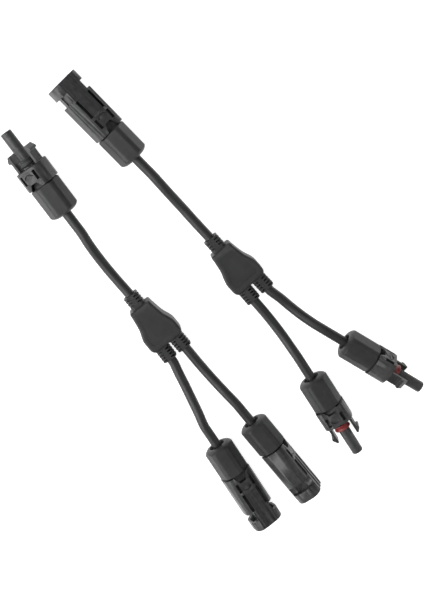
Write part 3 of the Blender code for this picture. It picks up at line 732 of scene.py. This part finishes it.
def socket_pattern():
    """Shroud, sleeve and everything that is cut into them."""
    housing = bar("socket_housing", (0.0, -SHELL_HALF, -SHELL_TOP),
                  (SOCKET_LENGTH, SHELL_HALF, SHELL_TOP), SHELL_CORNER, rim=0.45, segments=12)
    combine(housing, [sleeve_blank()], "UNION")
    beyond = SHELL_HALF + CLEAR
    notches = blocks("notches", both_sides(
        (WINDOW_BACK, WINDOW_FRONT), (SLOT_OUTER - 0.4, beyond), beyond
    ))
    core = [(0.0, 20.0), (NOTCH_RADIUS, 20.0), (NOTCH_RADIUS, 38.0), (0.0, 38.0)]
    combine(notches, [turned("core", core)])
    windows = blocks("windows", both_sides(
        (WINDOW_BACK, WINDOW_FRONT), (WINDOW_INNER, beyond), WINDOW_HALF
    ))
    channels = blocks("channels", both_sides(
        (WINDOW_BACK + 0.3, SOCKET_LENGTH + CLEAR), (CHANNEL_INNER, CHANNEL_OUTER), CHANNEL_HALF
    ))
    bore = [
        (0.0, SOCKET_LENGTH + CLEAR), (MOUTH_RADIUS + 0.5, SOCKET_LENGTH + CLEAR),
        (MOUTH_RADIUS + 0.5, SOCKET_LENGTH), (MOUTH_RADIUS, SOCKET_LENGTH - 0.7),
        (MOUTH_RADIUS, MOUTH_FLOOR), (NOSE_BORE + 0.4, MOUTH_FLOOR),
        (NOSE_BORE, MOUTH_FLOOR - 0.5), (NOSE_BORE, NOSE_FLOOR),
        (CONTACT_BORE, NOSE_FLOOR), (CONTACT_BORE, CABLE_FRONT), (SLEEVE_BORE, CABLE_FRONT),
        (SLEEVE_BORE, -SLEEVE_LENGTH - CLEAR), (0.0, -SLEEVE_LENGTH - CLEAR),
    ]
    combine(housing, [notches])
    combine(housing, [windows, channels])
    combine(housing, [turned("bore", bore)])
    marks = slot_cutters([SHORT_SLOT, LONG_SLOT])
    marks += pocket_cutters(5.0) + arc_cutters(7.4)
    for label, start, near, far, depth in FRONT_MARKS:
        for low, high in ((-far, -near), (near, far)):
            marks += both_faces(label, rectangle(start, SOCKET_LENGTH + CLEAR, low, high), depth)
    combine(housing, marks)
    return ease(housing, 0.16)


def pin_pattern():
    """Tinned pin with a rounded point, on the barrel that is crimped to the cable."""
    profile = [
        (0.0, 27.0), (0.9, 26.8), (1.6, 26.1), (2.0, 24.9), (2.0, 14.6), (2.1, 14.1),
        (2.6, 14.1), (2.6, 8.0), (2.35, 7.4), (2.35, 6.4), (2.6, 5.8), (2.6, -2.6), (0.0, -2.6),
    ]
    return ease(turned("pin", profile), 0.0, 40.0)


socket_housing = socket_pattern()
pin = pin_pattern()
for name in SOCKETS:
    set_down(socket_housing, name + "_shroud", seats[name], lead_body(name), name + "_housing",
             "housing_moulding")
    set_down(pin, name + "_pin", seats[name], lead_body(name), name + "_pin_contact",
             "tinned_contact")

# %% [markdown]
# ## Plug ends
#
# The plug end has a short shell that hides the roots of two springy arms, and a nose tube
# with the spring contact inside. A soft seal sits on the boss at the foot of the nose. Each
# arm is drawn from the side as an outline and given its width, because its barb is the
# same all the way across.

# %% Plug housing, latch arms, seal and tube
PLUG_LENGTH = 35.8
PLUG_SHELL = 12.2
PLUG_SLOT = (4.3, 10.2)
NOSE_RADIUS = 3.5
BOSS_RADIUS = 4.75
SEAL_RADIUS = 5.15
SEAL_BACK = 13.8
SEAL_FRONT = 17.4
ARM_ROOT = 3.0
ARM_LENGTH = 20.4
ARM_MIDDLE = 7.15
ARM_HALF = 0.8
ARM_HALF_WIDTH = 3.5
ARM_ROOM = 5.33
BARB_TOP = 2.2
LIP = 0.45
LIP_LENGTH = 0.9
WAIST = 0.4


def plug_pattern():
    """Shell, sleeve, boss and nose, with room for the arms."""
    housing = bar("plug_housing", (0.0, -SHELL_HALF, -SHELL_TOP),
                  (PLUG_SHELL, SHELL_HALF, SHELL_TOP), SHELL_CORNER, rim=0.45, segments=12)
    nose = [
        (0.0, PLUG_LENGTH), (NOSE_RADIUS - 0.7, PLUG_LENGTH),
        (NOSE_RADIUS - 0.25, PLUG_LENGTH - 0.2), (NOSE_RADIUS, PLUG_LENGTH - 0.7),
        (NOSE_RADIUS, SEAL_BACK - 0.3),
        (BOSS_RADIUS - 0.3, SEAL_BACK - 0.3), (BOSS_RADIUS, SEAL_BACK - 0.6), (BOSS_RADIUS, CLEAR),
        (0.0, CLEAR),
    ]
    combine(housing, [sleeve_blank(), turned("nose", nose)], "UNION")
    slots = blocks("arm_slots", both_sides(
        (ARM_ROOT - 0.3, PLUG_SHELL + CLEAR), (ARM_ROOM, CHANNEL_OUTER), CHANNEL_HALF
    ))
    bore = [
        (0.0, PLUG_LENGTH + CLEAR), (CONTACT_BORE, PLUG_LENGTH + CLEAR),
        (CONTACT_BORE, CABLE_FRONT), (SLEEVE_BORE, CABLE_FRONT),
        (SLEEVE_BORE, -SLEEVE_LENGTH - CLEAR), (0.0, -SLEEVE_LENGTH - CLEAR),
    ]
    combine(housing, [slots, turned("bore", bore)])
    marks = slot_cutters([PLUG_SLOT])
    marks += pocket_cutters(3.4) + arc_cutters(5.8)
    combine(housing, marks)
    return ease(housing, 0.16)


def arm_pattern():
    """Springy arm seen from the side, with its barb outwards along +Y."""
    points = [
        (0.0, -ARM_HALF), (ARM_LENGTH - 0.5, -ARM_HALF), (ARM_LENGTH, -ARM_HALF + 0.4),
        (ARM_LENGTH, 0.3), (ARM_LENGTH - 2.5, BARB_TOP - 0.1), (ARM_LENGTH - 3.0, BARB_TOP),
        (ARM_LENGTH - 3.9, BARB_TOP), (ARM_LENGTH - 4.1, BARB_TOP - 0.2),
        (ARM_LENGTH - 4.1, ARM_HALF + 0.3),
        (ARM_LENGTH - 4.4, ARM_HALF), (0.0, ARM_HALF),
    ]
    arm = plate("latch_arm", points, -ARM_HALF_WIDTH, ARM_HALF_WIDTH)
    thumb = blocks("thumb", [((10.6, ARM_HALF - 0.2, -2.2), (14.6, ARM_HALF + CLEAR, 2.2))])
    return ease(combine(arm, [thumb]), 0.22)


def seal_pattern():
    """Ring with two soft lips and a waist between them."""
    inner = NOSE_RADIUS + 0.3
    middle = SEAL_RADIUS - LIP

    def lip(along, first, last):
        """Rounded outer edge of a lip, as a quarter of a circle."""
        turns = [math.radians(first + (last - first) * step / 5) for step in range(6)]
        return [(middle + LIP * math.cos(a), along + LIP * math.sin(a)) for a in turns]

    waist = LIP_LENGTH + WAIST
    profile = [
        (inner, SEAL_FRONT), (middle, SEAL_FRONT), *lip(SEAL_FRONT - LIP, 90, 0),
        (SEAL_RADIUS, SEAL_FRONT - LIP_LENGTH), (SEAL_RADIUS - WAIST, SEAL_FRONT - waist),
        (SEAL_RADIUS - WAIST, SEAL_BACK + waist), (SEAL_RADIUS, SEAL_BACK + LIP_LENGTH),
        *lip(SEAL_BACK + LIP, 0, -90), (inner, SEAL_BACK),
    ]
    return ease(turned("nose_seal", profile), 0.0, 50.0)


def tube_pattern():
    """Tinned spring tube that grips the other end's pin."""
    profile = [
        (0.0, 18.0), (2.1, 18.0), (2.1, 33.7), (2.3, 34.0), (2.5, 34.0), (2.6, 33.8),
        (2.6, -2.6), (0.0, -2.6),
    ]
    return ease(turned("tube", profile), 0.0, 40.0)


plug_housing = plug_pattern()
latch_arm = arm_pattern()
nose_seal = seal_pattern()
tube = tube_pattern()
for name in PLUGS:
    body = lead_body(name)
    seal_slot = "black_seal" if body == "root" else "red_seal"
    set_down(plug_housing, name + "_plug", seats[name], body, name + "_housing",
             "housing_moulding")
    set_down(nose_seal, name + "_seal", seats[name], body, name + "_nose_seal", seal_slot)
    set_down(tube, name + "_tube", seats[name], body, name + "_tube_contact", "tinned_contact")
    for index, side in ((1, 1), (2, -1)):
        flip = Matrix.Rotation(0.0 if side > 0 else math.pi, 4, "X")
        hinge_seat = seats[name] @ Matrix.Translation((ARM_ROOT, side * ARM_MIDDLE, 0)) @ flip
        set_down(latch_arm, f"{name}_arm_piece_{index}", hinge_seat, f"{name}_arm_{index}",
                 f"{name}_latch_arm_{index}", "housing_moulding")

# %% [markdown]
# ## Y junctions
#
# The junction is overmoulded in one shot: a flat body that widens towards the fork, and a
# square boot for each cable. Grooves run round both sides of a boot and let it bend, and a
# spine above and one below hold it together. The body is an outline with thickness, and
# the grooves are rings cut short.

# %% Junction
JUNCTION_TOP = 13.0
JUNCTION_RIM = 1.5
BOOT_HALF = 4.65
BOOT_CORNER = 2.3
BOOT_INSIDE = 4.0
CABLE_ROOM = 3.15
CABLE_ROOM_END = -7.7
RIB_PITCH = 2.0
RIB_GROOVE = 1.0
RIB_RADIUS = 3.55
RIB_BEYOND = 9.5
RIB_HALF = math.radians(74)
RIB_STEPS = 12
STATIONS = [
    (6.3, 0.0), (6.95, 0.4), (7.2, 1.0), (7.45, 3.4), (8.0, 7.0), (8.65, 10.6), (9.3, 12.9),
    (10.15, 15.0), (10.85, 16.9), (11.25, 18.4), (11.4, 20.0), (11.4, 25.0), (11.15, 26.4),
    (10.4, 27.6), (9.0, 28.4),
]
PANEL_DEPTH = 0.25
SPLICE_ROOM = ((-7.1, -6.8, 3.1), (7.1, 6.8, 9.9))
PANEL = [
    (3.6, 4.0), (4.6, 4.5), (5.0, 5.4), (5.6, 10.0), (6.5, 13.6), (7.7, 16.8), (8.4, 19.2),
    (8.5, 22.4), (8.0, 23.6), (6.9, 24.2),
]


def mirrored(stations):
    """A closed outline from half widths and distances from the trunk end."""
    half = [(width, JUNCTION_LENGTH / 2 - along) for width, along in stations]
    return half + [(-x, y) for x, y in reversed(half)]


def groove_cutter(length):
    """Part rings round both sides of a boot, one behind another."""
    shape = bmesh.new()
    sweep = [RIB_HALF * (2 * step / RIB_STEPS - 1) for step in range(RIB_STEPS + 1)]
    for index in range(int((length - RIB_GROOVE) // RIB_PITCH)):
        along = length - RIB_PITCH * (index + 1)
        for half_turn in (0.0, math.pi):
            ring = []
            for radius, order in ((RIB_RADIUS, sweep), (RIB_BEYOND, sweep[::-1])):
                for angle in order:
                    across = radius * math.cos(angle + half_turn)
                    up = radius * math.sin(angle + half_turn)
                    ring.append(shape.verts.new((along, across, up)))
            raised = bmesh.ops.extrude_face_region(shape, geom=[shape.faces.new(ring)])["geom"]
            moved = [item for item in raised if isinstance(item, bmesh.types.BMVert)]
            bmesh.ops.translate(shape, vec=(RIB_GROOVE, 0, 0), verts=moved)
    return blank("grooves", shape)


def junction_pattern():
    """Body, boots, grooves, cable holes and the room for the splice."""
    junction = plate("junction", mirrored(STATIONS), 0.0, JUNCTION_TOP, rim=JUNCTION_RIM)
    boots = []
    cutters = []
    for label, length in RELIEF_LENGTH.items():
        turn = relief_turn(label)
        boot = bar("boot", (-BOOT_INSIDE, -BOOT_HALF, -BOOT_HALF), (length, BOOT_HALF, BOOT_HALF),
                   BOOT_CORNER, rim=0.4, segments=5)
        grooves = groove_cutter(length)
        profile = [
            (0.0, length + CLEAR), (CABLE_ROOM + 0.25, length + CLEAR),
            (CABLE_ROOM, length - 0.4), (CABLE_ROOM, CABLE_ROOM_END), (0.0, CABLE_ROOM_END),
        ]
        hole = turned("hole", profile, 40)
        for item in (boot, grooves, hole):
            item.data.transform(turn)
        boots.append(boot)
        cutters += [grooves, hole]
    combine(junction, boots, "UNION")
    cutters += [
        plate("panel", mirrored(PANEL), JUNCTION_TOP - PANEL_DEPTH, JUNCTION_TOP + CLEAR),
        blocks("splice_room", [SPLICE_ROOM]),
    ]
    combine(junction, cutters)
    return ease(junction, 0.14)


junction = junction_pattern()
for lead in JUNCTION_PLACES:
    body = "root" if lead == "a" else "lead_b"
    set_down(junction, lead + "_fork", junction_seat(lead), body, lead + "_junction",
             "junction_moulding")

for pattern in list(workbench.objects):
    bpy.data.objects.remove(pattern, do_unlink=True)
bpy.data.collections.remove(workbench)
print(sum(len(group) for group in finished.values()), "pieces set down")

# %% [markdown]
# ## Finishes
#
# Nearly everything here is black, so the surfaces differ by how they catch light. Moulded
# plastic has a fine spark-eroded grain and slightly lighter edges, part wear and part painted
# highlight; the extruded sheath is smoother, rubber is dull, and the contacts are tinned
# metal. Three effects are shared: a fine grain, a slow mottling of the tone, and edges painted
# lighter as wear and as a highlight. Each is a node group, built once, and every material
# gives it its own values.

# %% Shared node groups
def new_group(name, inputs, outputs):
    """Start a shader node group with the named sockets."""
    group = bpy.data.node_groups.new(name, "ShaderNodeTree")
    for label, kind in inputs:
        group.interface.new_socket(name=label, in_out="INPUT", socket_type=kind)
    for label, kind in outputs:
        group.interface.new_socket(name=label, in_out="OUTPUT", socket_type=kind)
    return group, group.nodes.new("NodeGroupInput"), group.nodes.new("NodeGroupOutput")


def noise_node(tree, scale=None, detail=2.0):
    """A noise texture on Object coordinates, so that it stays with the piece."""
    place = tree.nodes.new("ShaderNodeTexCoord")
    noise = tree.nodes.new("ShaderNodeTexNoise")
    noise.inputs["Detail"].default_value = detail
    if scale:
        noise.inputs["Scale"].default_value = scale
    tree.links.new(place.outputs["Object"], noise.inputs["Vector"])
    return noise


def map_range(tree, low, high, to_low, to_high):
    """A Map Range node with its four limits set."""
    node = tree.nodes.new("ShaderNodeMapRange")
    limits = {"From Min": low, "From Max": high, "To Min": to_low, "To Max": to_high}
    for label, value in limits.items():
        node.inputs[label].default_value = value
    return node


def build_grain():
    """Fine grain: a height for Bump, and a roughness that wanders a little."""
    group, given, made = new_group(
        "fine_grain",
        [("Scale", "NodeSocketFloat"), ("Roughness", "NodeSocketFloat"),
         ("Spread", "NodeSocketFloat")],
        [("Height", "NodeSocketFloat"), ("Roughness", "NodeSocketFloat")],
    )
    fine = noise_node(group, detail=3.0)
    broad = noise_node(group, scale=220.0)
    wander = group.nodes.new("ShaderNodeMath")
    wander.operation = "SUBTRACT"
    wander.inputs[1].default_value = 0.5
    level = group.nodes.new("ShaderNodeMath")
    level.operation = "MULTIPLY_ADD"
    group.links.new(given.outputs["Scale"], fine.inputs["Scale"])
    group.links.new(broad.outputs["Fac"], wander.inputs[0])
    group.links.new(wander.outputs[0], level.inputs[0])
    group.links.new(given.outputs["Spread"], level.inputs[1])
    group.links.new(given.outputs["Roughness"], level.inputs[2])
    group.links.new(fine.outputs["Fac"], made.inputs["Height"])
    group.links.new(level.outputs[0], made.inputs["Roughness"])
    return group


def build_mottle():
    """Slow drift between two tones of the same colour."""
    group, given, made = new_group(
        "mottle",
        [("Tone", "NodeSocketColor"), ("Other Tone", "NodeSocketColor"),
         ("Scale", "NodeSocketFloat")],
        [("Colour", "NodeSocketColor")],
    )
    cloud = noise_node(group, detail=4.0)
    spread = map_range(group, 0.35, 0.65, 0.0, 1.0)
    mix = group.nodes.new("ShaderNodeMix")
    mix.data_type = "RGBA"
    group.links.new(given.outputs["Scale"], cloud.inputs["Scale"])
    group.links.new(cloud.outputs["Fac"], spread.inputs["Value"])
    group.links.new(spread.outputs["Result"], mix.inputs["Factor"])
    group.links.new(given.outputs["Tone"], mix.inputs["A"])
    group.links.new(given.outputs["Other Tone"], mix.inputs["B"])
    group.links.new(mix.outputs["Result"], made.inputs["Colour"])
    return group


def build_edges():
    """Lighter tone on sharp edges, part wear from hands and part painted highlight, broken up by
    noise.
    """
    group, given, made = new_group(
        "rubbed_edges",
        [("Colour", "NodeSocketColor"), ("Rubbed", "NodeSocketColor"),
         ("Amount", "NodeSocketFloat")],
        [("Colour", "NodeSocketColor")],
    )
    shape = group.nodes.new("ShaderNodeNewGeometry")
    # Convex edges, found by pointiness, get the lighter tone: part wear, part painted highlight.
    sharp = map_range(group, 0.51, 0.62, 0.0, 1.0)
    breaks = map_range(group, 0.3, 0.7, 0.4, 1.0)
    patch = noise_node(group, scale=400.0, detail=3.0)
    some = group.nodes.new("ShaderNodeMath")
    some.operation = "MULTIPLY"
    share = group.nodes.new("ShaderNodeMath")
    share.operation = "MULTIPLY"
    mix = group.nodes.new("ShaderNodeMix")
    mix.data_type = "RGBA"
    group.links.new(shape.outputs["Pointiness"], sharp.inputs["Value"])
    group.links.new(patch.outputs["Fac"], breaks.inputs["Value"])
    group.links.new(sharp.outputs["Result"], some.inputs[0])
    group.links.new(breaks.outputs["Result"], some.inputs[1])
    group.links.new(some.outputs[0], share.inputs[0])
    group.links.new(given.outputs["Amount"], share.inputs[1])
    group.links.new(share.outputs[0], mix.inputs["Factor"])
    group.links.new(given.outputs["Colour"], mix.inputs["A"])
    group.links.new(given.outputs["Rubbed"], mix.inputs["B"])
    group.links.new(mix.outputs["Result"], made.inputs["Colour"])
    return group


fine_grain = build_grain()
mottle = build_mottle()
rubbed_edges = build_edges()
print("node groups:", ", ".join(group.name for group in bpy.data.node_groups))

# %% [markdown]
# ## Materials
#
# One function lays out the same chain each time: mottle, then edges painted lighter as wear
# and as a highlight into the base colour, and grain into roughness and bump. The numbers are
# what makes one finish differ from another. Values that are the same all over go straight on the
# shader's sockets.

# %% One material for each finish
SHEEN = 0.42
MOTTLE_SCALE = 140.0
BUMP_DISTANCE = 0.0001
# The lighter edge colour of each finish stands for wear and for a painted highlight.
FINISHES = {
    "housing_moulding": dict(
        tone=(0.013, 0.013, 0.0135), other=(0.018, 0.018, 0.0185), rubbed=(0.07, 0.07, 0.072),
        amount=0.6, roughness=0.36, spread=0.16, grain=5200.0, depth=0.22, metallic=0.0,
    ),
    "nut_moulding": dict(
        tone=(0.014, 0.014, 0.0145), other=(0.019, 0.019, 0.0195), rubbed=(0.07, 0.07, 0.072),
        amount=0.5, roughness=0.47, spread=0.14, grain=4200.0, depth=0.28, metallic=0.0,
    ),
    "junction_moulding": dict(
        tone=(0.014, 0.014, 0.0145), other=(0.020, 0.020, 0.0205), rubbed=(0.06, 0.06, 0.062),
        amount=0.5, roughness=0.50, spread=0.14, grain=3600.0, depth=0.30, metallic=0.0,
    ),
    "cable_sheath": dict(
        tone=(0.015, 0.015, 0.0155), other=(0.020, 0.020, 0.0205), rubbed=(0.04, 0.04, 0.04),
        amount=0.0, roughness=0.40, spread=0.12, grain=2600.0, depth=0.12, metallic=0.0,
    ),
    "red_seal": dict(
        tone=(0.15, 0.013, 0.014), other=(0.18, 0.018, 0.017), rubbed=(0.25, 0.06, 0.06),
        amount=0.35, roughness=0.42, spread=0.12, grain=3000.0, depth=0.10, metallic=0.0,
    ),
    "black_seal": dict(
        tone=(0.020, 0.020, 0.0205), other=(0.026, 0.026, 0.0265), rubbed=(0.05, 0.05, 0.05),
        amount=0.3, roughness=0.58, spread=0.12, grain=3000.0, depth=0.15, metallic=0.0,
    ),
    "tinned_contact": dict(
        tone=(0.66, 0.65, 0.62), other=(0.74, 0.73, 0.71), rubbed=(0.85, 0.84, 0.82),
        amount=0.6, roughness=0.27, spread=0.20, grain=5000.0, depth=0.08, metallic=1.0,
    ),
    "copper_splice": dict(
        tone=(0.66, 0.33, 0.20), other=(0.74, 0.40, 0.26), rubbed=(0.85, 0.55, 0.42),
        amount=0.5, roughness=0.34, spread=0.20, grain=4000.0, depth=0.10, metallic=1.0,
    ),
}


def build_finish(name, values):
    """A Principled material fed by the three shared groups."""
    material = bpy.data.materials.new(name + "_finish")
    material.use_nodes = True
    tree = material.node_tree
    shader = tree.nodes["Principled BSDF"]
    shader.inputs["Metallic"].default_value = values["metallic"]
    shader.inputs["Specular IOR Level"].default_value = SHEEN

    def placed(group, **settings):
        node = tree.nodes.new("ShaderNodeGroup")
        node.node_tree = group
        for label, value in settings.items():
            socket = node.inputs[label.replace("_", " ")]
            socket.default_value = (*value, 1.0) if isinstance(value, tuple) else value
        return node

    tones = placed(mottle, Tone=values["tone"], Other_Tone=values["other"],
                   Scale=MOTTLE_SCALE)
    # Edges painted lighter: part wear, part painted highlight.
    edges = placed(rubbed_edges, Rubbed=values["rubbed"], Amount=values["amount"])
    grain = placed(fine_grain, Scale=values["grain"], Roughness=values["roughness"],
                   Spread=values["spread"])
    bump = tree.nodes.new("ShaderNodeBump")
    bump.inputs["Strength"].default_value = values["depth"]
    bump.inputs["Distance"].default_value = BUMP_DISTANCE
    tree.links.new(tones.outputs["Colour"], edges.inputs["Colour"])
    tree.links.new(edges.outputs["Colour"], shader.inputs["Base Color"])
    tree.links.new(grain.outputs["Roughness"], shader.inputs["Roughness"])
    tree.links.new(grain.outputs["Height"], bump.inputs["Height"])
    tree.links.new(bump.outputs["Normal"], shader.inputs["Normal"])
    return material


finishes = {name: build_finish(name, values) for name, values in FINISHES.items()}
for slot, group in finished.items():
    for piece in group:
        piece.data.materials.clear()
        piece.data.materials.append(finishes[slot])
for sheath in sheaths.values():
    sheath.data.materials.clear()
    sheath.data.materials.append(finishes["cable_sheath"])
for label in ("a_splice", "b_splice"):
    for spot in frame["nodes"][label].material_slots:
        spot.material = finishes["copper_splice"]
print(len(finishes), "finishes")

# %% [markdown]
# ## Floor and light
#
# The leads lie on a plain pale floor under soft studio light. A large soft box on one side
# brightens the faces turned to it and leaves the others dark, which is what shows the
# flats of the nuts. A broad top light and the pale world keep the shadows faint, and the
# floor glows a little, as paper does on a light table.

# %% Stage
FLOOR_LEVEL = -0.0002
FLOOR_TONE = (0.7, 0.7, 0.7, 1.0)
FLOOR_GLOW = 0.85
SOFT_BOXES = [
    ("side_box", (-1.0, 0.15, 0.8), 1.1, 17.0),
    ("top_box", (-0.1, 0.5, 1.2), 0.9, 7.0),
    ("far_box", (0.9, -0.6, 0.6), 0.5, 1.5),
]
BRIGHT_SIDE = Vector((-0.62, 0.30, 0.72)).normalized()
DIM_LEVEL = 0.06
BRIGHT_LEVEL = 0.30


def build_floor():
    """A large pale plane under the leads."""
    shape = bmesh.new()
    bmesh.ops.create_grid(shape, x_segments=1, y_segments=1, size=3.0)
    mesh = bpy.data.meshes.new("floor")
    shape.to_mesh(mesh)
    shape.free()
    floor = bpy.data.objects.new("floor", mesh)
    floor.location.z = FLOOR_LEVEL
    bpy.context.scene.collection.objects.link(floor)
    material = bpy.data.materials.new("floor_paper")
    material.use_nodes = True
    shader = material.node_tree.nodes["Principled BSDF"]
    shader.inputs["Base Color"].default_value = FLOOR_TONE
    shader.inputs["Roughness"].default_value = 0.9
    shader.inputs["Specular IOR Level"].default_value = 0.0
    shader.inputs["Emission Color"].default_value = (1.0, 1.0, 1.0, 1.0)
    shader.inputs["Emission Strength"].default_value = FLOOR_GLOW
    mesh.materials.append(material)
    floor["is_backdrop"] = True


def soft_box(name, place, size, power):
    """A square area light aimed at the middle of the leads."""
    data = bpy.data.lights.new(name, "AREA")
    data.energy = power
    data.size = size
    lamp = bpy.data.objects.new(name, data)
    lamp.location = place
    aim = CAMERA_TARGET - Vector(place)
    lamp.rotation_euler = aim.to_track_quat("-Z", "Y").to_euler()
    bpy.context.scene.collection.objects.link(lamp)


def build_world():
    """A pale room: it lights the leads mostly from one side, and is white to look at."""
    world = bpy.data.worlds.new("studio")
    world.use_nodes = True
    tree = world.node_tree
    sky = tree.nodes["Background"]
    sky.inputs["Color"].default_value = (1.0, 1.0, 1.0, 1.0)
    place = tree.nodes.new("ShaderNodeTexCoord")
    towards = tree.nodes.new("ShaderNodeVectorMath")
    towards.operation = "DOT_PRODUCT"
    towards.inputs[1].default_value = BRIGHT_SIDE
    level = map_range(tree, -0.9, 0.9, DIM_LEVEL, BRIGHT_LEVEL)
    path = tree.nodes.new("ShaderNodeLightPath")
    shown = tree.nodes.new("ShaderNodeMath")
    shown.operation = "MAXIMUM"
    tree.links.new(place.outputs["Generated"], towards.inputs[0])
    tree.links.new(towards.outputs["Value"], level.inputs["Value"])
    tree.links.new(level.outputs["Result"], shown.inputs[0])
    tree.links.new(path.outputs["Is Camera Ray"], shown.inputs[1])
    tree.links.new(shown.outputs[0], sky.inputs["Strength"])
    bpy.context.scene.world = world


build_floor()
for box in SOFT_BOXES:
    soft_box(*box)
build_world()
bpy.context.scene.view_settings.view_transform = "Standard"

# %% [markdown]
# ## Last checks
#
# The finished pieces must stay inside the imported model's box, so both boxes are written
# down side by side before the scene is closed.

# %% Sizes and finish
piece_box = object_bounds()
for label, (low, high) in (("packed", cad_box), ("finished", piece_box)):
    print(label, [round((b - a) * 1000, 1) for a, b in zip(low, high)], "mm")
